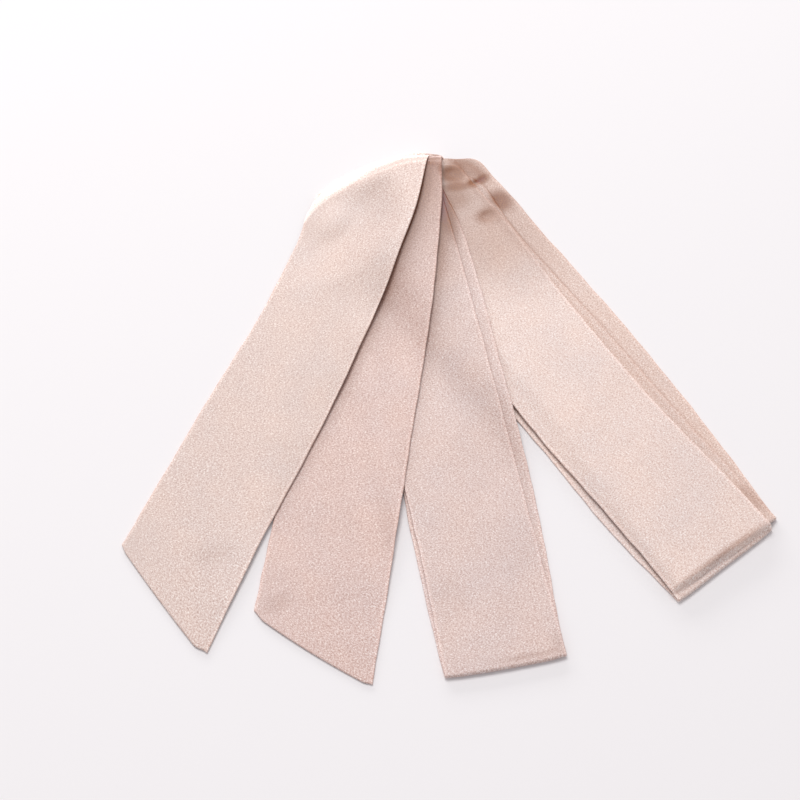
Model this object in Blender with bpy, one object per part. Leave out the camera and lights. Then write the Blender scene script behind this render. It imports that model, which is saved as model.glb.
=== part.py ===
# Waist sash: one long turned satin band, halved three times, fanned out and lying flat.
# Metres, +Z up. +X is the right of the fan and +Y runs from the free ends to the gathered top.
# The origin is on the surface that the sash lies on, at the middle of its outline.

from collections import namedtuple

import bpy
import numpy as np

MILLIMETRE = 0.001

# Driving sizes, in millimetres
SASH_WIDTH = 65.0
WALL = 1.0
AIR = 0.35
SEAM_GAP = 0.3
EDGE_INSET = 1.2

# How a layer comes down from the pile that it lies on, in millimetres
PILE_MARGIN = 1.5
TOP_MARGIN = 4.0
SIDE_FALL = 30.0
HEM_FALL = 6.0
TOP_FALL = 14.0
# How far each lane's sides are carried on past its ends to measure what lies beside it
SIDE_RUN_ON = 60.0

# Mesh spacing: close where the passes are piled up, wider where they lie apart
CELLS_ACROSS = 8
PILED_LENGTH = 130.0
PILED_STEP = 8.5
OPEN_STEP = 15.0
TOP_STEPS = (0.0, 2.0, 4.5, 8.0)
HEM_STEPS = (0.0, 2.0, 4.0, 6.0, 8.5, 12.0)
TURN_STEPS = 6
# How many sections inside an end still show which way the pass runs there
END_SECTIONS = 4

# The middle of the fan's outline in the tables' own coordinates
FAN_MIDDLE = np.array([26.3, -3.7])

LAYER_PITCH = WALL + AIR
# A pass's two ends, as places in its row of sections
TOP, HEM = 0, -1

# A line across the sash: its middle, how many degrees it climbs to the right, its length as a
# share of the sash's width (over 1 where it runs slantwise) and how far its middle bows upward.
Section = namedtuple("Section", "x y climb span bow", defaults=(0.0,))

# Each pass of the band, from its fold at the top of the fan down to its hem or free end
LEFT_END_PASS = (
    Section(-16.5, 138.3, 22.5, 1.11, 8.0),
    Section(-22.8, 116.5, 1.0, 0.95, 3.0),
    Section(-29.2, 96.0, -20.0, 0.89),
    Section(-50.5, 40.5, -23.5, 0.93),
    Section(-75.4, -13.0, -24.5, 0.99),
    Section(-111.3, -89.5, -25.5, 1.02),
    Section(-124.3, -116.9, -52.0, 1.15, -0.8),
)
RIGHT_END_PASS = (
    Section(-8.0, 139.6, 22.5, 1.06, 2.0),
    Section(-8.5, 122.5, 9.0, 1.01),
    Section(-10.4, 99.5, -4.4, 1.0),
    Section(-17.2, 39.2, -7.5, 1.0),
    Section(-26.0, -19.5, -9.7, 1.0),
    Section(-34.7, -78.4, -8.0, 1.015),
    Section(-45.3, -145.8, -32.8, 1.135, -1.5),
)
MIDDLE_UPPER_PASS = (
    Section(-12.5, 134.7, 24.3, 1.03),
    Section(-5.0, 115.2, 14.5, 0.955),
    Section(2.4, 84.7, 13.4, 0.962),
    Section(9.4, 53.6, 12.0, 0.962),
    Section(22.7, -5.8, 12.6, 0.955),
    Section(33.0, -50.7, 12.2, 0.95),
    Section(43.5, -99.5, 12.0, 0.957),
    Section(54.3, -154.3, 10.8, 0.985, -0.8),
)
MIDDLE_LOWER_PASS = (
    Section(-11.8, 133.5, 24.5, 1.015),
    Section(2.9, 95.0, 17.0, 1.0),
    Section(12.5, 64.1, 14.0, 1.0),
    Section(25.2, 5.0, 12.5, 1.0),
    Section(35.3, -49.7, 11.3, 1.055),
    Section(43.6, -96.4, 10.8, 1.045),
    Section(49.0, -128.0, 11.8, 1.01),
    Section(54.3, -154.3, 10.8, 0.985, -0.8),
)
OUTER_UPPER_PASS = (
    Section(-7.5, 135.5, 24.2, 1.05),
    Section(13.0, 120.5, 32.0, 1.015),
    Section(31.5, 92.8, 37.0, 0.985),
    Section(66.0, 44.3, 34.5, 0.97),
    Section(100.2, -5.2, 35.2, 0.97),
    Section(134.7, -50.3, 37.3, 0.977),
    Section(151.6, -71.8, 37.0, 1.0),
    Section(170.6, -98.0, 38.3, 1.02),
)
INNER_UPPER_PASS = (
    Section(-9.0, 136.3, 24.0, 1.07),
    Section(19.6, 120.6, 34.0, 1.015),
    Section(35.4, 92.8, 36.9, 0.985),
    Section(82.1, 31.6, 36.5, 0.995),
    Section(132.8, -37.5, 36.0, 0.995),
    Section(173.2, -89.8, 35.5, 0.992),
)
INNER_LOWER_PASS = (
    Section(-1.5, 142.3, 22.5, 1.17, 2.0),
    Section(9.5, 137.6, 31.0, 1.10),
    Section(29.2, 121.0, 38.0, 1.046),
    Section(55.7, 86.6, 38.0, 1.0),
    Section(96.4, 30.3, 35.0, 1.0),
    Section(140.7, -36.6, 33.5, 1.0),
    Section(173.2, -89.8, 35.5, 0.992),
)
OUTER_LOWER_PASS = (
    Section(-11.0, 140.6, 22.0, 1.18, 8.0),
    Section(12.0, 112.0, 34.0, 1.05),
    Section(60.0, 45.0, 37.0, 1.0),
    Section(103.0, -11.5, 37.0, 1.0),
    Section(137.0, -59.0, 37.0, 1.0),
    Section(170.6, -98.0, 38.3, 1.02),
)

# The pile from the surface upward
PILE = (
    ("outer_lower", OUTER_LOWER_PASS),
    ("inner_lower", INNER_LOWER_PASS),
    ("inner_upper", INNER_UPPER_PASS),
    ("outer_upper", OUTER_UPPER_PASS),
    ("middle_lower", MIDDLE_LOWER_PASS),
    ("middle_upper", MIDDLE_UPPER_PASS),
    ("right_end", RIGHT_END_PASS),
    ("left_end", LEFT_END_PASS),
)

SATIN_COLOURS = {
    "left_end": (0.80, 0.64, 0.59),
    "right_end": (0.74, 0.57, 0.52),
    "middle_loop": (0.76, 0.60, 0.55),
    "outer_loop": (0.81, 0.67, 0.62),
    "inner_loop": (0.77, 0.60, 0.55),
}
SATIN_ROUGHNESS = 0.5

Lane = namedtuple("Lane", "left right bow")


def ease(share):
    # One at zero, nought from one onward, level at both
    share = np.clip(share, 0.0, 1.0)
    return 1.0 - share * share * (3.0 - 2.0 * share)


def curve_through(knots, values, places):
    # A smooth curve through the values at the knots, read at the places
    slopes = np.gradient(values, knots, axis=0)
    index = np.clip(np.searchsorted(knots, places, side="right") - 1, 0, len(knots) - 2)
    length = (knots[index + 1] - knots[index])[:, None]
    share = (places - knots[index])[:, None] / length
    start, end = values[index], values[index + 1]
    rise_out, rise_in = slopes[index] * length, slopes[index + 1] * length
    return (
        start * (1 + 2 * share) * (1 - share) ** 2
        + rise_out * share * (1 - share) ** 2
        + end * share ** 2 * (3 - 2 * share)
        + rise_in * share ** 2 * (share - 1)
    )


def section_places(length):
    # Distances along a pass from its top fold, close together at both ends
    top = np.array(TOP_STEPS)
    hem = length - np.array(HEM_STEPS)[::-1]
    piled = np.linspace(top[-1], PILED_LENGTH, round((PILED_LENGTH - top[-1]) / PILED_STEP) + 1)
    lying_apart = np.linspace(PILED_LENGTH, hem[0], round((hem[0] - PILED_LENGTH) / OPEN_STEP) + 1)
    return np.concatenate([top[:-1], piled[:-1], lying_apart[:-1], hem])


def make_lane(sections):
    # The left and right edges of one pass on the ground, from its top fold downward
    middles = np.array([[row.x, row.y] for row in sections]) - FAN_MIDDLE
    climbs = np.radians([row.climb for row in sections])
    halves = np.array([row.span for row in sections]) * SASH_WIDTH / 2
    reach = np.stack([np.cos(climbs), np.sin(climbs)], axis=1) * halves[:, None]
    bows = np.array([[row.bow] for row in sections])
    knots = np.concatenate([[0.0], np.cumsum(np.linalg.norm(np.diff(middles, axis=0), axis=1))])
    table = np.concatenate([middles - reach, middles + reach, bows], axis=1)
    read = curve_through(knots, table, section_places(knots[-1]))
    return Lane(read[:, 0:2], read[:, 2:4], read[:, 4])


def lane_points(lane, shares):
    # Points on the ground for each section of a lane and each share of the way across
    across = lane.right - lane.left
    upward = np.stack([-across[:, 1], across[:, 0]], axis=1)
    upward /= np.linalg.norm(upward, axis=1)[:, None]
    hump = 4 * shares * (1 - shares)
    straight = lane.left[:, None] + across[:, None] * shares[None, :, None]
    return straight + upward[:, None] * (lane.bow[:, None] * hump[None])[..., None]


def distance_outside(points, outline):
    # How far each point lies outside a closed outline, nought inside it
    nearest = np.full(len(points), np.inf)
    inside = np.zeros(len(points), dtype=bool)
    for start, end in zip(outline, np.roll(outline, -1, axis=0)):
        edge = end - start
        to_point = points - start
        share = np.clip(to_point @ edge / (edge @ edge), 0.0, 1.0)
        nearest = np.minimum(nearest, np.linalg.norm(to_point - share[:, None] * edge, axis=1))
        spans = (start[1] > points[:, 1]) != (end[1] > points[:, 1])
        # A level edge spans no point, so what its slope comes to doesn't matter
        slope = edge[0] / edge[1] if edge[1] else 0.0
        crossing = start[0] + (points[:, 1] - start[1]) * slope
        inside ^= spans & (points[:, 0] < crossing)
    return np.where(inside, 0.0, nearest)


def end_direction(row_middles, end):
    # The level direction in which a pass runs out at one of its ends
    inner = END_SECTIONS if end == TOP else HEM - END_SECTIONS
    run = (row_middles[end] - row_middles[inner])[0:2]
    return run / np.linalg.norm(run)


def square_to(across, direction):
    # The level direction square to a line across a pass, on the side that the pass runs out to
    outward = np.array([-across[1], across[0]]) / np.linalg.norm(across)
    return outward if outward @ direction > 0 else -outward


def distance_past(points, lane, end):
    # How far each point lies past the line across one end of a lane
    middles = (lane.left + lane.right) / 2
    outward = square_to(lane.right[end] - lane.left[end], end_direction(middles, end))
    return (points - middles[end]) @ outward - max(lane.bow[end], 0.0)


def support(lane, points):
    # One over a lane and its folds, falling smoothly to nought around it
    middles = (lane.left + lane.right) / 2
    on_top = end_direction(middles, TOP) * SIDE_RUN_ON
    on_hem = end_direction(middles, HEM) * SIDE_RUN_ON
    left = np.vstack([lane.left[TOP] + on_top, lane.left, lane.left[HEM] + on_hem])
    right = np.vstack([lane.right[TOP] + on_top, lane.right, lane.right[HEM] + on_hem])
    beside = distance_outside(points, np.vstack([left, right[::-1]]))
    return (
        ease((beside - PILE_MARGIN) / SIDE_FALL)
        * ease((distance_past(points, lane, TOP) - TOP_MARGIN) / TOP_FALL)
        * ease((distance_past(points, lane, HEM) - PILE_MARGIN) / HEM_FALL)
    )


def share_row():
    # Shares of the way across: one near each edge, the rest evenly between
    inset = EDGE_INSET / SASH_WIDTH
    return np.concatenate([[0.0], np.linspace(inset, 1 - inset, CELLS_ACROSS + 1), [1.0]])


def lay_out_pile():
    # The middle surface of every pass, each laid on all those below it
    shares = share_row()
    below = []
    surfaces = {}
    for name, sections in PILE:
        lane = make_lane(sections)
        ground = lane_points(lane, shares)
        flat = ground.reshape(-1, 2)
        height = np.full(len(flat), WALL / 2)
        for lower in below:
            height += LAYER_PITCH * support(lower, flat)
        surfaces[name] = np.concatenate([ground, height.reshape(ground.shape[:2])[..., None]], axis=2)
        below.append(lane)
    return surfaces


def fold_round(upper, lower, end):
    # The round of a fold, from one end of the upper pass down to the same end of the lower one
    upper_line, lower_line = upper[end], lower[end]
    across = upper_line[-1, 0:2] - upper_line[0, 0:2]
    outward = square_to(across, end_direction(upper.mean(axis=1), end))
    half_height = (upper_line[:, 2] - lower_line[:, 2]) / 2
    rows = []
    for step in range(1, TURN_STEPS):
        share = step / TURN_STEPS
        row = upper_line * (1 - share) + lower_line * share
        row[:, 2] = lower_line[:, 2] + half_height * (1 + np.cos(np.pi * share))
        row[:, 0:2] += outward * (half_height * np.sin(np.pi * share))[:, None]
        rows.append(row)
    return np.array(rows)


def fold_tail(surface):
    # The first lines of a lower pass, which the fold above it ends in, short of the rest of the pass
    step = surface[0] - surface[1]
    step /= np.linalg.norm(step, axis=1)[:, None]
    return np.stack([surface[0], surface[1] + step * SEAM_GAP])


def satin(name):
    # The cloth's material: pale, with a soft gloss
    material = bpy.data.materials.new(name + "_satin")
    material.use_nodes = True
    shader = material.node_tree.nodes["Principled BSDF"]
    shader.inputs["Base Color"].default_value = (*SATIN_COLOURS[name], 1.0)
    shader.inputs["Roughness"].default_value = SATIN_ROUGHNESS
    shader.inputs["Metallic"].default_value = 0.0
    return material


def wall_faces(sections, width):
    # The faces of a closed wall whose every section is a ring: over the front, then under the back
    count = 2 * (width - 1)
    faces = []
    for row in range(sections - 1):
        for place in range(count):
            near, following = row * count, (place + 1) % count
            far = near + count
            faces.append((near + place, far + place, far + following, near + following))
    for row, turned in ((0, False), (sections - 1, True)):
        for place in range(width - 1):
            around = (place, place + 1, (count - place - 1) % count, (count - place) % count)
            # At each long edge two of the four corners are one
            corners = [row * count + corner for corner in dict.fromkeys(around)]
            faces.append(corners[::-1] if turned else corners)
    return faces


def add_wall(name, *stretches):
    # A closed wall around the middle surface that the stretches make up, thinned to its long edges
    middle_surface = np.concatenate(stretches)
    along = np.gradient(middle_surface, axis=0)
    across = np.gradient(middle_surface, axis=1)
    normal = np.cross(along, across)
    normal /= np.linalg.norm(normal, axis=2)[..., None]
    front = middle_surface[:, 1:-1] + normal[:, 1:-1] * WALL / 2
    back = middle_surface[:, 1:-1] - normal[:, 1:-1] * WALL / 2
    rings = np.concatenate([
        middle_surface[:, :1],
        front,
        middle_surface[:, -1:],
        back[:, ::-1],
    ], axis=1)
    mesh = bpy.data.meshes.new(name)
    places = (rings.reshape(-1, 3) * MILLIMETRE).tolist()
    mesh.from_pydata(places, [], wall_faces(*middle_surface.shape[:2]))
    mesh.shade_smooth()
    mesh.materials.append(satin(name))
    bpy.context.scene.collection.objects.link(bpy.data.objects.new(name, mesh))


def add_free_end(name, surface, lower):
    # A pass with a free end, then the round of its top fold
    add_wall(name, surface[::-1], fold_round(surface, lower, TOP), fold_tail(lower))


def add_hem_loop(name, upper, lower):
    # Two passes joined at their hem, cut off below the top folds that lead into them
    add_wall(name, upper[1:], fold_round(upper, lower, HEM), lower[:0:-1])


def add_middle_loop(pile):
    # Both middle passes with their hem, and the two innermost top folds
    upper, lower = pile["middle_upper"], pile["middle_lower"]
    add_wall(
        "middle_loop",
        fold_tail(pile["inner_upper"])[::-1],
        fold_round(upper, pile["inner_upper"], TOP)[::-1],
        upper,
        fold_round(upper, lower, HEM),
        lower[::-1],
        fold_round(lower, pile["outer_upper"], TOP),
        fold_tail(pile["outer_upper"]),
    )


def main():
    for item in list(bpy.data.objects):
        bpy.data.objects.remove(item, do_unlink=True)
    pile = lay_out_pile()
    add_free_end("left_end", pile["left_end"], pile["outer_lower"])
    add_free_end("right_end", pile["right_end"], pile["inner_lower"])
    add_middle_loop(pile)
    add_hem_loop("outer_loop", pile["outer_upper"], pile["outer_lower"])
    add_hem_loop("inner_loop", pile["inner_upper"], pile["inner_lower"])


main()
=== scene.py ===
# Waist sash in crepe-back satin: one long turned band, halved three times, fanned out and laid flat.
# Plan sizes are in mm on the surface, +X to the right of the fan and +Y up to its gathered top.
import math

import bpy
import numpy as np
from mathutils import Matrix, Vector


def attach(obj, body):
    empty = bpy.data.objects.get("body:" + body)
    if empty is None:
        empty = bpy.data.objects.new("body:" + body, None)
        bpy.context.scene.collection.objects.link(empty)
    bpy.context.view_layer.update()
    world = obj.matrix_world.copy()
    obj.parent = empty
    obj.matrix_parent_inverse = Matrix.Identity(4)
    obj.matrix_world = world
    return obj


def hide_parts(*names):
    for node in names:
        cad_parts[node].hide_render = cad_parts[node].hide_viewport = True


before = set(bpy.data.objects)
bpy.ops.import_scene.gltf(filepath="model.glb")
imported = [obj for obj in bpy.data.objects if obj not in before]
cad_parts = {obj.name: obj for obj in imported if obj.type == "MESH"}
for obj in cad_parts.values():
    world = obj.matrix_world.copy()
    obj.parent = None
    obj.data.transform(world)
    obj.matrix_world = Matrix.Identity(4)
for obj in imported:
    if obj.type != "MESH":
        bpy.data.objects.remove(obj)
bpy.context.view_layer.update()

print("frame loaded: one body, five cloth solids to stand in for")

millimetre = 0.001

# The band itself, the same all along
sash = {
    "width": 65.0,        # the flattened tube
    "wall": 1.0,          # two plies with the turnings and the air pressed between them
    "air": 0.35,          # left between one pass and the next
    "seamGap": 0.3,       # between the pieces, under the top folds
    "alongStep": 1.2,     # from one row of points to the next, down a pass
    "acrossStep": 1.35,   # from one point to the next, across it
    "edgeRound": 0.5,     # radius of the long folded edges
    "closeSteps": (0.0, 0.04, 0.14, 0.3, 0.5, 0.8),   # the points next to a rounded edge or end
    "turnSteps": 14,      # rows round a fold
    "foldPinch": 0.6,     # how much flatter a fold is pressed at its two ends
    "pinchReach": 8.0,    # and how far in from there
    "endReach": 5.0,      # how far in from an end its direction is read
    "outlineStep": 6,     # every how many rows a lane's outline is kept for the pile
    "seamRow": 2,         # the row of a lower pass where the piece of the fold above it ends
}

# How a pass comes down off the passes that it lies on: it stays up over a margin past them, and
# comes down over a length past that (beside them, its own drape)
fall = {
    "sideMargin": 0.9,
    "topMargin": 3.0,
    "topLength": 10.0,
    "hemMargin": 2.2,
    "hemLength": 1.1,
    "runOn": 60.0,        # the sides are carried on past both ends to measure what lies beside them
}

# How uneven the cloth is: the lengths of its swells, fine ripples and the wander of its long edges
uneven = {
    "swell": (38.0, 61.0, 97.0),
    "ripple": (9.0, 13.0, 21.0),
    "wander": (17.0, 29.0, 53.0),
    "wanderWidth": 0.5,
    "liftStart": 35.0,    # the right edge rises over this length below a top fold
}
seeds = {"apart": 20, "first": 3, "left": 1, "right": 2, "swell": 7, "ripple": 8}

fanMiddle = np.array([26.3, -3.7])   # middle of the fan's outline in the plan below
pitch = sash["wall"] + sash["air"]


def ease(share):
    # 1 at 0, 0 from 1 onward, level at both
    share = np.clip(share, 0.0, 1.0)
    return 1.0 - share * share * (3.0 - 2.0 * share)


def curveThrough(knots, values, places):
    # smooth curve through the values at the knots
    slopes = np.gradient(values, knots, axis=0)
    index = np.clip(np.searchsorted(knots, places, side="right") - 1, 0, len(knots) - 2)
    length = (knots[index + 1] - knots[index])[:, None]
    share = (places - knots[index])[:, None] / length
    start, end = values[index], values[index + 1]
    slopeOut, slopeIn = slopes[index] * length, slopes[index + 1] * length
    return (
        start * (1 + 2 * share) * (1 - share) ** 2
        + slopeOut * share * (1 - share) ** 2
        + end * share ** 2 * (3 - 2 * share)
        + slopeIn * share ** 2 * (share - 1)
    )


def waves(points, seed, lengths):
    # gentle unevenness from 0 to 1, made of a few crossing swells of the lengths given
    draw = np.random.default_rng(seed)
    total = np.zeros(len(points))
    for length in lengths:
        heading = draw.uniform(0, math.pi)
        phase = draw.uniform(0, 2 * math.pi)
        run = points @ np.array([math.cos(heading), math.sin(heading)])
        total += np.sin(run * 2 * math.pi / length + phase)
    return 0.5 + 0.5 * total / len(lengths)


def rowPlaces(length, freeEnd):
    # distances down a pass, closer together towards a free end
    close = np.array(sash["closeSteps"]) if freeEnd else np.array([0.0])
    last = length - close[::-1]
    count = round(last[0] / sash["alongStep"])
    return np.concatenate([np.linspace(0, last[0], count, endpoint=False), last])


def shareRow():
    # shares of the way across, closer together at both long edges
    close = np.array(sash["closeSteps"])
    inner = sash["width"] - 2 * close[-1]
    count = round(inner / sash["acrossStep"])
    flat = np.linspace(close[-1], sash["width"] - close[-1], count + 1)
    return np.concatenate([close[:-1], flat, (sash["width"] - close[:-1])[::-1]]) / sash["width"]


def makeLane(run, freeEnd, seed):
    # the two long edges of a pass on the surface, from its top fold down to its hem or free end
    table = np.array([row + (0.0,) * (5 - len(row)) for row in run])
    middles = table[:, 0:2] - fanMiddle
    climbs = np.radians(table[:, 2])
    halves = table[:, 3] * sash["width"] / 2
    reach = np.stack([np.cos(climbs), np.sin(climbs)], axis=1) * halves[:, None]
    knots = np.concatenate([[0.0], np.cumsum(np.linalg.norm(np.diff(middles, axis=0), axis=1))])
    places = rowPlaces(knots[-1], freeEnd)
    columns = np.concatenate([middles - reach, middles + reach, table[:, 4:]], axis=1)
    read = curveThrough(knots, columns, places)
    left, right, bow = read[:, 0:2], read[:, 2:4], read[:, 4]
    across = (right - left) / np.linalg.norm(right - left, axis=1)[:, None]
    line = np.stack([places, np.zeros(len(places))], axis=1)
    wander = [
        (waves(line, seed + seeds[side], uneven["wander"]) - 0.5)[:, None] * across
        for side in ("left", "right")
    ]
    return {
        "left": left + wander[0] * uneven["wanderWidth"],
        "right": right + wander[1] * uneven["wanderWidth"],
        "bow": bow,
        "places": places,
        "seed": seed,
    }


def groundPoints(lane, shares):
    # a pass on the surface, row by row, its rows bowed upward like a shallow arch
    across = lane["right"] - lane["left"]
    upward = np.stack([-across[:, 1], across[:, 0]], axis=1)
    upward /= np.linalg.norm(upward, axis=1)[:, None]
    hump = 4 * shares * (1 - shares)
    straight = lane["left"][:, None] + across[:, None] * shares[None, :, None]
    return straight + upward[:, None] * (lane["bow"][:, None] * hump[None])[..., None]


def distanceTo(points, line):
    # to the nearest stretch of an open line
    nearest = np.full(len(points), np.inf)
    for start, end in zip(line[:-1], line[1:]):
        edge = end - start
        share = np.clip((points - start) @ edge / (edge @ edge), 0.0, 1.0)
        away = np.linalg.norm(points - start - share[:, None] * edge, axis=1)
        nearest = np.minimum(nearest, away)
    return nearest


def liesWithin(points, outline):
    inside = np.zeros(len(points), dtype=bool)
    for start, end in zip(outline, np.roll(outline, -1, axis=0)):
        spans = (start[1] > points[:, 1]) != (end[1] > points[:, 1])
        slope = (end[0] - start[0]) / (end[1] - start[1]) if end[1] != start[1] else 0.0
        inside ^= spans & (points[:, 0] < start[0] + (points[:, 1] - start[1]) * slope)
    return inside


def endHeading(lane, end):
    # the way a pass runs out at its top (0) or its foot (-1)
    middles = (lane["left"] + lane["right"]) / 2
    away = np.abs(lane["places"] - lane["places"][end])
    inner = np.argmin(np.abs(away - sash["endReach"]))
    run = middles[end] - middles[inner]
    return run / np.linalg.norm(run)


def squareTo(across, heading):
    outward = np.array([-across[1], across[0]]) / np.linalg.norm(across)
    return outward if outward @ heading > 0 else -outward


def distancePast(points, lane, end):
    outward = squareTo(lane["right"][end] - lane["left"][end], endHeading(lane, end))
    middle = (lane["left"][end] + lane["right"][end]) / 2
    return (points - middle) @ outward - max(lane["bow"][end], 0.0)


def support(lane, points, drape):
    # 1 over a pass and its folds, falling to 0 around it, over the drape's length beside it
    step = sash["outlineStep"]
    onTop = endHeading(lane, 0) * fall["runOn"]
    onFoot = endHeading(lane, -1) * fall["runOn"]
    edges = [
        np.vstack([side[0] + onTop, side[:-1:step], side[-1], side[-1] + onFoot])
        for side in (lane["left"], lane["right"])
    ]
    beside = np.minimum(distanceTo(points, edges[0]), distanceTo(points, edges[1]))
    beside[liesWithin(points, np.vstack([edges[0], edges[1][::-1]]))] = 0.0
    return (
        ease((beside - fall["sideMargin"]) / drape)
        * ease((distancePast(points, lane, 0) - fall["topMargin"]) / fall["topLength"])
        * ease((distancePast(points, lane, -1) - fall["hemMargin"]) / fall["hemLength"])
    )


def liftOff(lane, points, settings):
    # how far a pass stands off what it lies on: soft swells, and a raised right edge
    swell = settings["swell"] * waves(points, lane["seed"] + seeds["swell"], uneven["swell"])
    fine = settings["ripple"] * waves(points, lane["seed"] + seeds["ripple"], uneven["ripple"])
    edge = lane["right"][::sash["outlineStep"]]
    raised = settings["rightLift"] * ease(distanceTo(points, edge) / settings["liftReach"]) ** 2
    down = -distancePast(points, lane, 0)
    share = ease(down / settings["liftDown"]) - ease(down / uneven["liftStart"])
    return swell + fine + raised * share


# The pile is pressed low along its gathered top: x, y, reach inward, the share of its height that
# it loses there, and the width of the painted highlight where the cloth rolls over
brow = [
    (-61.0, 94.0, 10.0, 0.0, 0.0),
    (-56.0, 110.5, 17.0, 0.40, 0.0),
    (-50.5, 125.0, 22.0, 0.66, 4.5),
    (-43.0, 136.5, 22.0, 0.74, 9.0),
    (-31.7, 146.0, 20.0, 0.76, 10.0),
    (-17.3, 153.0, 17.0, 0.74, 7.5),
    (0.0, 158.0, 14.0, 0.70, 4.5),
    (17.4, 158.8, 12.5, 0.80, 5.5),
    (28.9, 159.5, 12.5, 0.80, 4.5),
    (37.6, 157.5, 12.0, 0.70, 2.0),
    (46.1, 150.5, 10.0, 0.50, 0.0),
    (57.4, 139.0, 8.0, 0.34, 0.0),
    (68.6, 124.0, 7.0, 0.15, 0.0),
    (82.0, 106.0, 7.0, 0.0, 0.0),
]
paintedRollHighlightShape = {"solid": 0.6, "fade": 0.6, "leastWidth": 0.1}   # shares of the painted highlight's width, and mm

# Soft hollows and rises pressed into the whole pile: x, y, half length, half width, turn in
# degrees, and the share of its height that it loses (or gains, below 0) there
dents = {
    "left shoulder": (-41.0, 110.0, 54.0, 38.0, 35.0, 0.58),
    "hollow by the pivot": (31.5, 143.5, 11.0, 7.5, -5.0, 0.16),
    "bump on the fold": (45.5, 148.0, 8.0, 5.0, -25.0, -0.14),
    "crease by the bump": (45.0, 140.5, 7.0, 2.4, 40.0, 0.22),
    "dimple by the fold": (58.0, 127.5, 9.0, 6.0, -50.0, 0.20),
    "soft smudge": (50.0, 115.0, 7.0, 5.0, 20.0, 0.08),
}
ovalCore = 0.25   # the share of such an oval that has its full depth


def fromBrow(points):
    # near the gathered top: the share of the pile's height lost, and how much painted highlight
    # there is
    loss, rollHighlight = np.zeros(len(points)), np.zeros(len(points))
    line = np.array(brow)
    line[:, 0:2] -= fanMiddle
    for start, end in zip(line[:-1], line[1:]):
        edge = end - start
        share = np.clip((points - start[0:2]) @ edge[0:2] / (edge[0:2] @ edge[0:2]), 0.0, 1.0)
        foot = start + share[:, None] * edge
        away = np.linalg.norm(points - foot[:, 0:2], axis=1)
        loss = np.maximum(loss, foot[:, 3] * np.clip(1.0 - away / foot[:, 2], 0.0, 1.0) ** 2)
        share = away / np.maximum(foot[:, 4], paintedRollHighlightShape["leastWidth"])
        rollHighlight = np.maximum(rollHighlight, ease((share - paintedRollHighlightShape["solid"]) / paintedRollHighlightShape["fade"]))
    return loss, rollHighlight


def pressed(points):
    # the share of its height that the pile keeps at each place
    kept = 1.0 - fromBrow(points)[0]
    for dent in dents.values():
        kept *= 1.0 - dent[5] * spot(points, dent)
    return kept


def spot(points, place):
    # 1 over the middle of a soft oval, 0 from its rim outward
    x, y, halfLength, halfWidth, turn = place[:5]
    angle = math.radians(turn)
    offset = points - (np.array([x, y]) - fanMiddle)
    along = offset @ np.array([math.cos(angle), math.sin(angle)]) / halfLength
    across = offset @ np.array([-math.sin(angle), math.cos(angle)]) / halfWidth
    return ease((np.hypot(along, across) - ovalCore) / (1.0 - ovalCore))


# Painted shade where the cloth is made browner (and painted light where it is made paler, below 0):
# soft ovals, most of them along its crease lines and hollows, with x, y, half length, half width,
# turn in degrees and depth
paintedShadeSpots = {
    "outer_loop": {
        "hollow by the pivot": (31.0, 144.5, 14.0, 12.0, 0.0, 0.74),
        "foot of the hollow": (32.5, 134.8, 13.0, 4.6, 5.0, 0.68),
        "under the hollow": (29.0, 127.0, 17.0, 12.0, 0.0, 0.42),
        "crease by the bump": (43.0, 138.5, 8.0, 5.5, 30.0, 0.66),
        "smudge": (50.0, 115.5, 11.0, 8.5, 20.0, 0.46),
        "beside the middle loop": (27.5, 118.0, 6.5, 20.0, 18.0, 0.42),
        "top of the panel": (42.0, 114.0, 76.0, 58.0, -40.0, 0.40),
        "groove over the inner fold": (171.0, -92.0, 40.0, 2.3, 36.0, 0.42),
    },
    "inner_loop": {
        "crease by the bump": (46.5, 142.0, 9.0, 4.5, 45.0, 0.80),
        "end of the fold": (29.0, 154.5, 11.0, 5.0, -15.0, 0.20),
        "bump": (40.0, 150.5, 20.0, 10.0, -35.0, 0.58),
        "dimple by the fold": (58.0, 128.0, 12.0, 10.0, -55.0, 0.76),
        "near the hem corner": (187.0, -60.0, 16.0, 6.0, -52.0, 0.26),
        "top of the panel": (52.0, 122.0, 76.0, 28.0, -45.0, 0.26),
    },
    "middle_loop": {
        "hollow by the pivot": (31.0, 144.5, 14.0, 12.0, 0.0, 0.74),
        "wedge below the top": (26.5, 116.0, 8.0, 28.0, 12.0, 0.64),
        "grey patch": (26.0, -116.0, 14.0, 16.0, 0.0, 0.05),
        "foot of the panel": (90.0, -140.0, 14.0, 26.0, 0.0, 0.04),
        "line above the hem": (66.0, -149.6, 26.0, 2.4, 10.8, 0.22),
        "hem corner": (84.0, -142.0, 9.0, 10.0, 0.0, 0.10),
    },
    "right_end": {
        "end of the fold": (33.0, 157.0, 9.0, 6.0, -10.0, 0.15),
        "low left crease": (-64.0, -120.0, 13.0, 7.0, 30.0, 0.14),
        "low right patch": (-6.0, -75.0, 7.0, 30.0, 8.0, 0.08),
    },
    "left_end": {
        "end of the fold": (20.5, 159.5, 8.0, 3.5, -5.0, 0.85),
        "middle of the panel": (-60.0, 10.0, 100.0, 44.0, 68.0, 0.04),
        "low patch": (-98.0, -92.0, 18.0, 9.0, 15.0, 0.10),
        "below the roll": (-33.0, 121.0, 30.0, 13.0, 42.0, -0.07),
    },
}
paintedShadeLoss = (0.78, 1.02, 1.14)    # how much red, green and blue the deepest painted shade takes
toneLimits = (0.02, 1.15)
paintedEdgeHighlight = {"gain": 0.15, "reach": 0.9}            # painted highlight along the rounded long edges: how much paler they are, and how far in
paintedRollHighlight = {"left_end": 0.60, "right_end": 0.80}   # and the painted highlight along the rolled top
paintedRollHighlightTint = (0.8, 1.0, 1.1)

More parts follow.
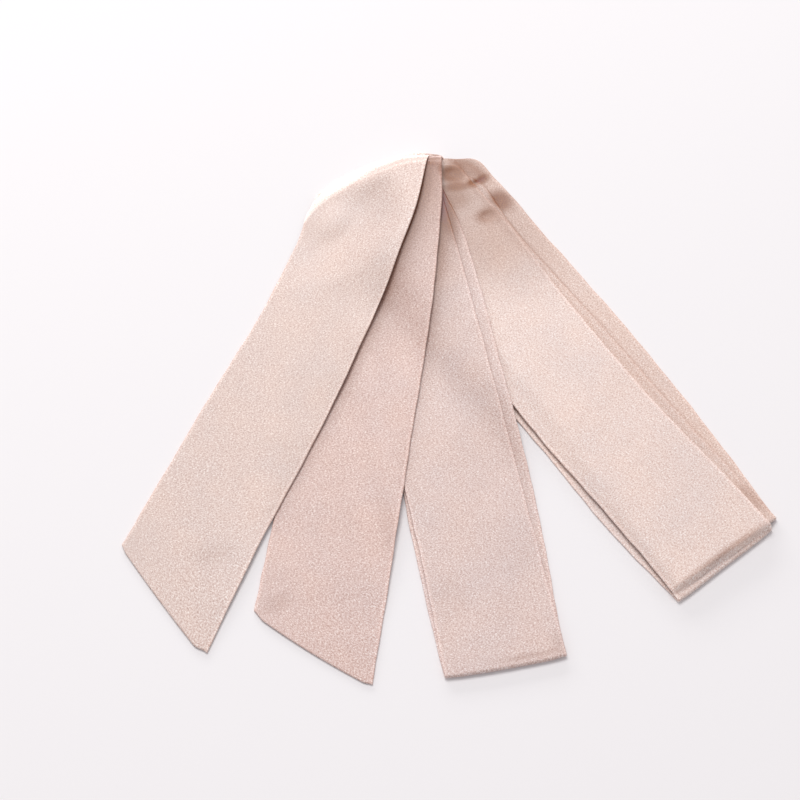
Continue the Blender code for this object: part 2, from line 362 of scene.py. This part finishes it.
# Lower down the cloth reads a little paler and cooler: in full below this y of the part's frame,
# and less and less over this length above it
paleEnds = {"below": -150.0, "over": 120.0, "gain": (0.025, 0.045, 0.060)}

# Painted shade of a pass that lies above, along its right edge: which pass that is, and for each
# painted shade how deep it is at the top, how wide, and how far down it reaches
paintedUnderShade = {
    "right_end": ("leftEnd", (0.60, 8.0, 215.0), (0.72, 38.0, 130.0)),
    "middle_loop": ("rightEnd", (0.68, 8.0, 170.0), (0.76, 30.0, 140.0)),
    "inner_loop": ("innerUpper", (0.42, 1.6, 420.0)),
}


def paintedToneOf(name, points):
    # red, green and blue that the cloth keeps at each place of a piece: its painted shade, a little
    # paler lower down, and its painted highlight along the rolled top
    kept = np.ones(len(points))
    for place in paintedShadeSpots.get(name, {}).values():
        kept *= 1.0 - place[5] * spot(points, place)
    if name in paintedUnderShade:
        above, *shades = paintedUnderShade[name]
        lane = laid[above]["lane"]
        away = distanceTo(points, lane["right"][::sash["outlineStep"]])
        down = -distancePast(points, lane, 0)
        for depth, width, reach in shades:
            kept *= 1.0 - depth * ease(away / width) * ease(down / reach)
    tone = np.clip(1.0 - (1.0 - kept)[:, None] * paintedShadeLoss, *toneLimits)
    low = ease((points[:, 1] - paleEnds["below"]) / paleEnds["over"])
    tone *= 1.0 + low[:, None] * paleEnds["gain"]
    # painted highlight where the cloth rolls over the gathered top
    if name in paintedRollHighlight:
        tone += (paintedRollHighlight[name] * fromBrow(points)[1])[:, None] * paintedRollHighlightTint
    return tone


def edgeRounding(distance, radius):
    # how much of its thickness a wall keeps this far in from a rounded rim
    near = np.clip(1.0 - distance / radius, 0.0, 1.0)
    return np.sqrt(1.0 - near * near)


def pullEnd(ground, lane, settings):
    # blunts the two corners of a free end
    shares = shareRow()
    inward = -endHeading(lane, -1)
    tip = settings["tipCut"] * ease((1 - shares) * sash["width"] / settings["tipReach"])
    heel = settings["heelCut"] * ease(shares * sash["width"] / settings["heelReach"])
    near = ease((lane["places"][-1] - lane["places"]) / settings["endGive"])
    return ground + (near[:, None] * (tip + heel)[None])[..., None] * inward


def bridged(height, rounds):
    # the cloth spans the hollows under it, by as many rows as there are rounds, and never sinks
    for _ in range(rounds):
        padded = np.pad(height, 1, mode="reflect", reflect_type="odd")
        beside = (padded[:-2, 1:-1] + padded[2:, 1:-1] + padded[1:-1, :-2] + padded[1:-1, 2:]) / 4
        height = np.maximum(height, beside)
    return height


def layOutPile(pile):
    # the middle surface of each pass, laid on all those below it, with its half thickness
    shares = shareRow()
    fromEdge = np.minimum(shares, 1 - shares) * sash["width"]
    below = []
    laid = {}
    for number, (name, settings) in enumerate(pile.items()):
        freeEnd = "tipCut" in settings
        lane = makeLane(settings["run"], freeEnd, seeds["apart"] * number + seeds["first"])
        ground = groundPoints(lane, shares)
        if freeEnd:
            ground = pullEnd(ground, lane, settings)
        flat = ground.reshape(-1, 2)
        height = sash["wall"] / 2 + liftOff(lane, flat, settings)
        for lower, lowerSettings in below:
            step = pitch + liftOff(lower, flat, lowerSettings)
            height += step * support(lower, flat, settings["drape"])
        if "bridging" in settings:
            height = bridged(height.reshape(ground.shape[:2]), settings["bridging"])
        half = np.tile(edgeRounding(fromEdge, sash["edgeRound"]), (len(ground), 1))
        half = half * sash["wall"] / 2
        if freeEnd:
            fromEnd = lane["places"][-1] - lane["places"]
            half *= edgeRounding(fromEnd, sash["edgeRound"])[:, None]
        laid[name] = {
            "lane": lane,
            "middle": np.concatenate([ground, height.reshape(ground.shape[:2])[..., None]], axis=2),
            "half": half,
        }
        below.append((lane, settings))
    return laid


upright = np.array([0.0, 0.0, 1.0])


def passStretch(layer, facing, rows=slice(None)):
    # a pass as a stretch of the band: its middle surface, and half its thickness towards its front
    middle = layer["middle"][rows]
    offset = layer["half"][rows][..., None] * upright * facing
    return middle, offset


def foldStretch(upper, lower, end, facing, bulge):
    # the round of a fold, from one end of the upper pass to the same end of the lower one
    upperLine, lowerLine = upper["middle"][end], lower["middle"][end]
    half = upper["half"][len(upper["half"]) // 2]
    outward = squareTo(upperLine[-1, 0:2] - upperLine[0, 0:2], endHeading(upper["lane"], end))
    outward = np.append(outward, 0.0)
    rise = (upperLine[:, 2] - lowerLine[:, 2]) / 2 * np.sqrt(pressed(upperLine[:, 0:2]))
    fromSide = np.minimum(shareRow(), 1 - shareRow()) * sash["width"]
    rise *= 1.0 - sash["foldPinch"] * ease(fromSide / sash["pinchReach"])
    middles, offsets = [], []
    for step in range(1, sash["turnSteps"]):
        turn = math.pi * step / sash["turnSteps"]
        share = (1 - math.cos(turn)) / 2
        row = upperLine * (1 - share) + lowerLine * share
        row = row + outward * (rise * math.sin(turn) * bulge)[:, None]
        normal = outward * math.sin(turn) / bulge + upright * math.cos(turn)
        middles.append(row)
        offsets.append(half[:, None] * normal / np.linalg.norm(normal) * facing)
    return np.array(middles), np.array(offsets)


def tailStretch(layer, facing):
    # the first rows of a lower pass, which belong to the fold above them and stop short of the seam
    middle, offset = passStretch(layer, facing, slice(0, sash["seamRow"] + 1))
    middle = middle.copy()
    step = middle[-2] - middle[-1]
    middle[-1] += step / np.linalg.norm(step, axis=1)[:, None] * sash["seamGap"]
    return middle, offset


def turned(stretch):
    # the same stretch, run from its other end
    return stretch[0][::-1], stretch[1][::-1]


def wallFaces(rows, width):
    # faces of a closed tube pressed flat, with both ends closed
    count = 2 * (width - 1)
    near = np.arange(rows - 1)[:, None] * count + np.arange(count)[None]
    after = np.arange(rows - 1)[:, None] * count + (np.arange(count) + 1)[None] % count
    faces = np.stack([near, near + count, after + count, after], axis=2).reshape(-1, 4).tolist()
    for row, flipped in ((0, False), (rows - 1, True)):
        for place in range(width - 1):
            around = (place, place + 1, (count - place - 1) % count, (count - place) % count)
            corners = [row * count + corner for corner in dict.fromkeys(around)]
            faces.append(corners[::-1] if flipped else corners)
    return faces


def sewBand(node, name, material, *stretches):
    # one piece of the band as a closed shell around its middle surface
    middle = np.concatenate([stretch[0] for stretch in stretches])
    offset = np.concatenate([stretch[1] for stretch in stretches])
    rings = np.concatenate([
        middle[:, :1],
        middle[:, 1:-1] + offset[:, 1:-1],
        middle[:, -1:],
        (middle[:, 1:-1] - offset[:, 1:-1])[:, ::-1],
    ], axis=1)
    rows, count = rings.shape[:2]
    width = middle.shape[1]
    flat = rings[..., 0:2].reshape(-1, 2)
    rings[..., 2] *= pressed(flat).reshape(rows, count)
    mesh = bpy.data.meshes.new(name)
    mesh.from_pydata((rings.reshape(-1, 3) * millimetre).tolist(), [], wallFaces(rows, width))
    mesh.shade_smooth()
    # for the weave, where each point lies on the band: along it, across it and on which face
    steps = np.linalg.norm(np.diff(middle[:, width // 2], axis=0), axis=1)
    along = np.concatenate([[0.0], np.cumsum(steps)])
    across = shareRow() * sash["width"]
    acrossRing = np.concatenate([across, across[1:-1][::-1]])
    place = np.zeros((rows, count, 3))
    place[..., 0] = along[:, None]
    place[..., 1] = acrossRing[None]
    place[..., 2] = np.where(np.arange(count) < width, 0.0, crepeBackSatin["backApart"])[None]
    attribute = mesh.attributes.new("bandPlace", "FLOAT_VECTOR", "POINT")
    attribute.data.foreach_set("vector", place.reshape(-1).astype(np.float32))
    # painted shade in the folds and beside the passes above, and painted highlights along the rolled
    # top and the long edges
    tone = paintedToneOf(node, flat).reshape(rows, count, 3)
    # painted highlight along the long edges
    atEdge = np.minimum(acrossRing, sash["width"] - acrossRing) < paintedEdgeHighlight["reach"]
    tone *= 1.0 + paintedEdgeHighlight["gain"] * atEdge[None, :, None]
    tone = np.concatenate([tone, np.ones((rows, count, 1))], axis=2)
    attribute = mesh.attributes.new("paintedShadeAndLight", "FLOAT_COLOR", "POINT")
    attribute.data.foreach_set("color", tone.reshape(-1).astype(np.float32))
    mesh.materials.append(material)
    piece = bpy.data.objects.new(name, mesh)
    bpy.context.scene.collection.objects.link(piece)
    area = sum(face.area for face in mesh.polygons) / 2
    print(f"{name}: {len(mesh.polygons)} faces, {along[-1]:.0f} mm of band, {area:.4f} m2 a side")
    return piece, along[-1] * millimetre, area


def linear(hexCode):
    # an sRGB hex colour as linear red, green, blue and alpha
    parts = [int(hexCode[place:place + 2], 16) / 255 for place in (1, 3, 5)]
    colour = [p / 12.92 if p <= 0.04045 else ((p + 0.055) / 1.055) ** 2.4 for p in parts]
    return (*colour, 1.0)


def addNode(tree, kind, links=(), **settings):
    # links: (input, other node, its output); settings are the node's own, or inputs by name
    node = tree.nodes.new(kind)
    for name, value in settings.items():
        if hasattr(node, name):
            setattr(node, name, value)
        else:
            node.inputs[name.replace("_", " ")].default_value = value
    for socket, source, output in links:
        tree.links.new(source.outputs[output], node.inputs[socket])
    return node


# Crepe-back satin, woven from hard-twisted polyester and turned crepe side out. The twist draws the
# cloth into a fine uneven crinkle, so it looks matt and pale with small bright glints. It is glossy
# only where it rolls away from the eye.
crepeBackSatin = {
    "crinkle": 0.60,       # scale of the crinkle along the band, mm
    "stretch": 1.5,        # how much longer a crinkle is across than along
    "thread": 0.4,         # mm, two threads drawn as one, because a single one doesn't show
    "cloud": 34.0,         # mm, the weak cloudiness of the dye
    "backApart": 9.0,      # mm between the pattern of the front and that of the back
    "crinkleDepth": 0.10,  # mm
    "threadShare": 0.4,    # of that depth
    "crinkleBump": 0.9,
    "threadBump": 0.35,
    "ramp": (0.32, 0.52, 0.71),   # where the painted shade, the ground and the painted glint lie in the crinkle
    "cloudRamp": ((0.32, (0.96, 0.965, 0.975, 1.0)), (0.68, (1.02, 0.985, 0.955, 1.0))),
    "roughness": 0.38,
    "specular": 0.7,
    "sheen": 0.25,
    "sheenRoughness": 0.4,
}


def addRamp(tree, source, stops):
    # a colour ramp over the first output of a node
    ramp = addNode(tree, "ShaderNodeValToRGB", [("Fac", source, 0)])
    elements = ramp.color_ramp.elements
    for number, (position, colour) in enumerate(stops):
        element = elements[number] if number < len(elements) else elements.new(position)
        element.position, element.color = position, colour
    return ramp


def weaveSatin(name, ground, shade, light):
    # one copy of the cloth: its ground colour, set per piece as partly painted light and shade, the
    # painted shade in the crinkles and the colour of the painted glints
    cloth = crepeBackSatin
    material = bpy.data.materials.new(name)
    material.use_nodes = True
    tree = material.node_tree
    shader = tree.nodes["Principled BSDF"]
    place = addNode(tree, "ShaderNodeAttribute", attribute_name="bandPlace")
    stretched = addNode(tree, "ShaderNodeVectorMath", [(0, place, "Vector")], operation="MULTIPLY")
    stretched.inputs[1].default_value = (1.0, 1.0 / cloth["stretch"], 1.0)
    crinkle = addNode(tree, "ShaderNodeTexNoise", [("Vector", stretched, 0)],
                      Scale=1 / cloth["crinkle"], Detail=2.0, Roughness=0.6, Distortion=0.6)
    thread = addNode(tree, "ShaderNodeTexNoise", [("Vector", place, "Vector")],
                     Scale=1 / cloth["thread"], Detail=1.0, Roughness=0.5)
    cloud = addNode(tree, "ShaderNodeTexNoise", [("Vector", place, "Vector")],
                    Scale=1 / cloth["cloud"], Detail=3.0, Roughness=0.55)
    crinkleColours = (linear(shade), linear(ground), linear(light))
    crinkled = addRamp(tree, crinkle, zip(cloth["ramp"], crinkleColours))
    clouded = addRamp(tree, cloud, cloth["cloudRamp"])
    # the painted shade and highlight carried on the band's points
    paintedShading = addNode(tree, "ShaderNodeAttribute", attribute_name="paintedShadeAndLight")
    dyed = addNode(tree, "ShaderNodeVectorMath", [(0, crinkled, "Color"), (1, clouded, "Color")],
                   operation="MULTIPLY")
    finished = addNode(tree, "ShaderNodeVectorMath", [(0, dyed, 0), (1, paintedShading, "Color")],
                       operation="MULTIPLY")
    tree.links.new(finished.outputs[0], shader.inputs["Base Color"])
    depth = cloth["crinkleDepth"] * millimetre
    threadBump = addNode(tree, "ShaderNodeBump", [("Height", thread, 0)],
                         Strength=cloth["threadBump"], Distance=depth * cloth["threadShare"])
    crinkleBump = addNode(tree, "ShaderNodeBump",
                          [("Height", crinkle, 0), ("Normal", threadBump, "Normal")],
                          Strength=cloth["crinkleBump"], Distance=depth)
    tree.links.new(crinkleBump.outputs["Normal"], shader.inputs["Normal"])
    shader.inputs["Roughness"].default_value = cloth["roughness"]
    shader.inputs["Sheen Weight"].default_value = cloth["sheen"]
    shader.inputs["Sheen Roughness"].default_value = cloth["sheenRoughness"]
    shader.inputs["Specular IOR Level"].default_value = cloth["specular"]
    return material


# The passes, top fold first: x, y of the middle, degrees that the cross line climbs to the right,
# its length as a share of the width, and how far its middle bows upward. Then come the length over
# which the pass comes down beside what it lies on, its swell and ripple, the rise of its right edge
# with its reach across and down, and what blunts the two corners of a free end.

leftEnd = {
    "run": [
        (-15.6, 143.6, 22.5, 1.08, 7.5),
        (-22.2, 117.5, 1.0, 0.969, 3.0),
        (-28.7, 95.8, -20.0, 0.906),
        (-50.5, 40.5, -23.5, 0.93),
        (-75.4, -13.0, -24.5, 0.99),
        (-111.3, -89.5, -25.5, 1.02),
        (-124.0, -118.9, -53.5, 1.204, -0.8),
    ],
    "drape": 30.0, "swell": 0.22, "ripple": 0.05,
    "rightLift": 2.3,"liftReach": 26.0, "liftDown": 205.0,
    "tipCut": 3.2, "tipReach": 8.0, "heelCut": 1.0, "heelReach": 4.0, "endGive": 16.0,
    "bridging": 160,
}
rightEnd = {
    "run": [
        (-8.0, 143.6, 22.5, 1.06, 5.0),
        (-8.5, 122.5, 9.0, 1.01),
        (-10.4, 99.5, -4.4, 1.0),
        (-17.2, 39.2, -7.5, 1.0),
        (-26.0, -19.5, -9.7, 1.0),
        (-34.7, -78.4, -8.0, 1.015),
        (-45.3, -145.8, -32.8, 1.135, -1.5),
    ],
    "drape": 26.0, "swell": 0.26, "ripple": 0.05,
    "rightLift": 1.6,"liftReach": 22.0, "liftDown": 210.0,
    "tipCut": 1.2, "tipReach": 5.0, "heelCut": 2.0, "heelReach": 6.0, "endGive": 16.0,
}
middleLoop = {
    "upper": {
        "run": [
            (-12.5, 134.7, 24.3, 1.03, 4.0),
            (-5.0, 115.2, 14.5, 0.955),
            (2.4, 84.7, 13.4, 0.962),
            (9.4, 53.6, 12.0, 0.962),
            (22.7, -5.8, 12.6, 0.955),
            (33.0, -50.7, 12.2, 0.95),
            (43.5, -99.5, 12.0, 0.957),
            (54.3, -154.3, 10.8, 0.985, -0.8),
        ],
        "drape": 25.0, "swell": 0.22, "ripple": 0.04,
        "rightLift":0.3, "liftReach": 8.0, "liftDown": 260.0,
    },
    "lower": {
        "run": [
            (-11.8, 133.5, 24.5, 1.015, 3.0),
            (3.7, 95.3, 17.0, 1.026),
            (12.5, 64.1, 14.0, 1.0),
            (25.2, 5.0, 12.5, 1.0),
            (35.3, -49.7, 11.3, 1.055),
            (43.6, -96.4, 10.8, 1.045),
            (49.0, -128.0, 11.8, 1.01),
            (54.3, -154.3, 10.8, 0.985, -0.8),
        ],
        "drape": 24.0, "swell": 0.18, "ripple": 0.04,
        "rightLift":0.2, "liftReach": 8.0, "liftDown": 260.0,
    },
}
outerLoop = {
    "upper": {
        "run": [
            (-7.5, 135.5, 24.2, 1.05, 3.0),
            (0.3, 132.5, 29.4, 1.10, 2.0),
            (13.3, 120.7, 32.0, 1.03),
            (32.8, 93.7, 37.0, 1.031),
            (66.0, 44.3, 34.5, 0.97),
            (100.2, -5.2, 35.2, 0.97),
            (134.7, -50.3, 37.3, 0.977),
            (151.6, -71.8, 37.0, 1.0),
            (170.6, -98.0, 38.3, 1.02),
        ],
        "drape": 12.0, "swell": 0.25, "ripple": 0.05,
        "rightLift":0.1, "liftReach": 7.0, "liftDown": 260.0,
    },
    "lower": {
        "run": [
            (-10.0, 145.0, 22.0, 1.15, 8.0),
            (12.0, 112.0, 34.0, 1.05),
            (60.0, 45.0, 37.0, 1.0),
            (103.0, -11.5, 37.0, 1.0),
            (137.0, -59.0, 37.0, 1.0),
            (170.6, -98.0, 38.3, 1.02),
        ],
        "drape": 5.0, "swell": 0.1, "ripple": 0.02,
        "rightLift":0.1, "liftReach": 8.0, "liftDown": 260.0,
    },
}
innerLoop = {
    "upper": {
        "run": [
            (-9.0, 136.3, 24.0, 1.07, 4.0),
            (19.6, 120.6, 34.0, 1.015),
            (36.0, 93.3, 36.9, 1.01),
            (82.1, 31.6, 36.5, 0.995),
            (132.8, -37.5, 36.0, 0.995),
            (173.2, -89.8, 35.5, 0.992),
        ],
        "drape": 5.5, "swell": 0.12, "ripple": 0.03,
        "rightLift":0.5, "liftReach": 6.0, "liftDown": 260.0,
    },
    "lower": {
        "run": [
            (-6.0, 143.9, 22.5, 1.04, 5.0),
            (3.0, 141.0, 27.8, 1.07, 2.0),
            (9.8, 139.2, 31.0, 1.10, 1.0),
            (29.2, 121.0, 38.0, 1.046),
            (55.7, 86.6, 38.0, 1.0),
            (96.4, 30.3, 35.0, 1.0),
            (140.7, -36.6, 33.5, 1.0),
            (173.2, -89.8, 35.5, 0.992),
        ],
        "drape": 5.0, "swell": 0.1, "ripple": 0.02,
        "rightLift":0.1, "liftReach": 8.0, "liftDown": 260.0,
    },
}
roundness = {"outerTop": 1.0, "innerTop": 0.6, "hem": 1.0}   # how far a fold bulges for its height

laid = layOutPile({
    "outerLower": outerLoop["lower"],
    "innerLower": innerLoop["lower"],
    "innerUpper": innerLoop["upper"],
    "outerUpper": outerLoop["upper"],
    "middleLower": middleLoop["lower"],
    "middleUpper": middleLoop["upper"],
    "rightEnd": rightEnd,
    "leftEnd": leftEnd,
})
print("eight passes laid out")

# The same cloth in five copies, one for each piece, each a little lighter or darker, warmer or
# cooler, to stand in for how it is lit: painted light and shade
satin = {
    "left_end": weaveSatin("crepeBackSatinLeftEnd", "#D7C0B6", "#B7968A", "#F3E9E2"),
    "right_end": weaveSatin("crepeBackSatinRightEnd", "#D6B9B0", "#B68F82", "#F3E5DE"),
    "middle_loop": weaveSatin("crepeBackSatinMiddleLoop", "#D9C1B9", "#B8968C", "#F5EAE6"),
    "outer_loop": weaveSatin("crepeBackSatinOuterLoop", "#E7D1C8", "#C8AA9E", "#FCF5F0"),
    "inner_loop": weaveSatin("crepeBackSatinInnerLoop", "#DEC4B8", "#BE9D8E", "#F5EAE4"),
}


def freeEndStretches(upper, lower, facing, bulge):
    # from the free end up over the top fold
    return [
        turned(passStretch(laid[upper], facing)),
        foldStretch(laid[upper], laid[lower], 0, facing, bulge),
        tailStretch(laid[lower], -facing),
    ]


def hemLoopStretches(upper, lower, facing):
    # down the upper pass from its seam, round the hem and back up the lower one to its seam
    rows = slice(sash["seamRow"], None)
    return [
        passStretch(laid[upper], facing, rows),
        foldStretch(laid[upper], laid[lower], -1, facing, roundness["hem"]),
        turned(passStretch(laid[lower], -facing, rows)),
    ]


bands = {
    "left_end": freeEndStretches("leftEnd", "outerLower", 1, roundness["outerTop"]),
    "right_end": freeEndStretches("rightEnd", "innerLower", 1, roundness["innerTop"]),
    "middle_loop": [
        turned(tailStretch(laid["innerUpper"], -1)),
        turned(foldStretch(laid["middleUpper"], laid["innerUpper"], 0, 1, roundness["innerTop"])),
        passStretch(laid["middleUpper"], 1),
        foldStretch(laid["middleUpper"], laid["middleLower"], -1, 1, roundness["hem"]),
        turned(passStretch(laid["middleLower"], -1)),
        foldStretch(laid["middleLower"], laid["outerUpper"], 0, -1, roundness["innerTop"]),
        tailStretch(laid["outerUpper"], 1),
    ],
    "outer_loop": hemLoopStretches("outerUpper", "outerLower", 1),
    "inner_loop": hemLoopStretches("innerUpper", "innerLower", 1),
}

for node, stretches in bands.items():
    piece, length, area = sewBand(node, node + "_cloth", satin[node], *stretches)
    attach(piece, "root")
    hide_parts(node)
print("five stretches of the band sewn")

# A white card under the sash: size in metres, and how far below the sash it lies in mm
surface = {"size": 6.0, "depth": 0.1, "colour": "#F3F1F2", "roughness": 0.6}
below = -surface["depth"] * millimetre
bpy.ops.mesh.primitive_plane_add(size=surface["size"], location=(0, 0, below))
floor = bpy.context.object
floor.name = "floor"
card = bpy.data.materials.new("coatedWhiteCard")
card.use_nodes = True
cardShader = card.node_tree.nodes["Principled BSDF"]
cardShader.inputs["Base Color"].default_value = linear(surface["colour"])
cardShader.inputs["Roughness"].default_value = surface["roughness"]
floor.data.materials.append(card)

camera = {
    "tilt": 27.5,          # degrees from straight down
    "distance": 1.2015,    # metres from the middle of the fan
    "lens": 99.0,          # mm
    "sensor": 36.0,        # mm
}
tilt = math.radians(camera["tilt"])
aim = Vector((-fanMiddle[0] * millimetre, -fanMiddle[1] * millimetre, 0.0))
cameraData = bpy.data.cameras.new("camera")
cameraData.lens = camera["lens"]
cameraData.sensor_width = camera["sensor"]
cameraObject = bpy.data.objects.new("camera", cameraData)
cameraObject.location = aim + Vector((0.0, -math.sin(tilt), math.cos(tilt))) * camera["distance"]
cameraObject.rotation_euler = (tilt, 0.0, 0.0)
bpy.context.scene.collection.objects.link(cameraObject)
bpy.context.scene.camera = cameraObject

# Place and size (metres), watts and colour of each soft box, all aimed at the sash
lights = {
    "overheadSoftBox": {
        "place": (-1.0, 3.3, 4.7), "size": (3.4, 2.4), "watts": 188.0, "colour": "#FFFDFC",
    },
    "backStrip": {
        "place": (-0.7, 2.4, 0.55), "size": (2.6, 0.5), "watts": 36.0, "colour": "#FFFFFF",
    },
}
for name, light in lights.items():
    data = bpy.data.lights.new(name, "AREA")
    data.shape = "RECTANGLE"
    data.size, data.size_y = light["size"]
    data.energy = light["watts"]
    data.color = linear(light["colour"])[:3]
    box = bpy.data.objects.new(name, data)
    box.location = light["place"]
    box.rotation_euler = (-Vector(light["place"])).to_track_quat("-Z", "Y").to_euler()
    bpy.context.scene.collection.objects.link(box)

room = {"colour": "#F8F5F8", "strength": 0.53}
world = bpy.data.worlds.new("whiteRoom")
world.use_nodes = True
backdrop = world.node_tree.nodes["Background"]
backdrop.inputs["Color"].default_value = linear(room["colour"])
backdrop.inputs["Strength"].default_value = room["strength"]
bpy.context.scene.world = world
bpy.context.scene.view_settings.view_transform = "Standard"
print("surface, camera and light in place")
